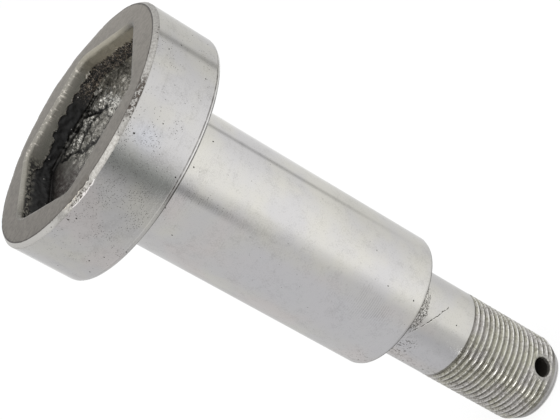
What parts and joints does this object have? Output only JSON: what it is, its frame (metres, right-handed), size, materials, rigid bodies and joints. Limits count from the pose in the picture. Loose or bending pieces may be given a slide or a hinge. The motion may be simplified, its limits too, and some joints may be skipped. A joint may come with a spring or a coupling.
{
  "type": "trailer suspension pin",
  "caption": "Headed steel pivot pin: hexagonal pocket in the round head, smooth shank, stepped shoulder, plain neck and fine threaded end with a split pin hole.",
  "frame": {"origin": "centre of the flat end face of the threaded end, on which the pin stands", "axes": "+Z along the pin's axis towards its head; two opposite flats of the head's hexagonal pocket face along Y"},
  "size_m": [0.0683, 0.0682, 0.153],
  "materials": {
    "zinc_plated_steel": "turned and zinc plated, with rough forged scale in the pocket"
  },
  "bodies": {
    "root": {"suspension_pin": "zinc_plated_steel"}
  },
  "joints": []
}
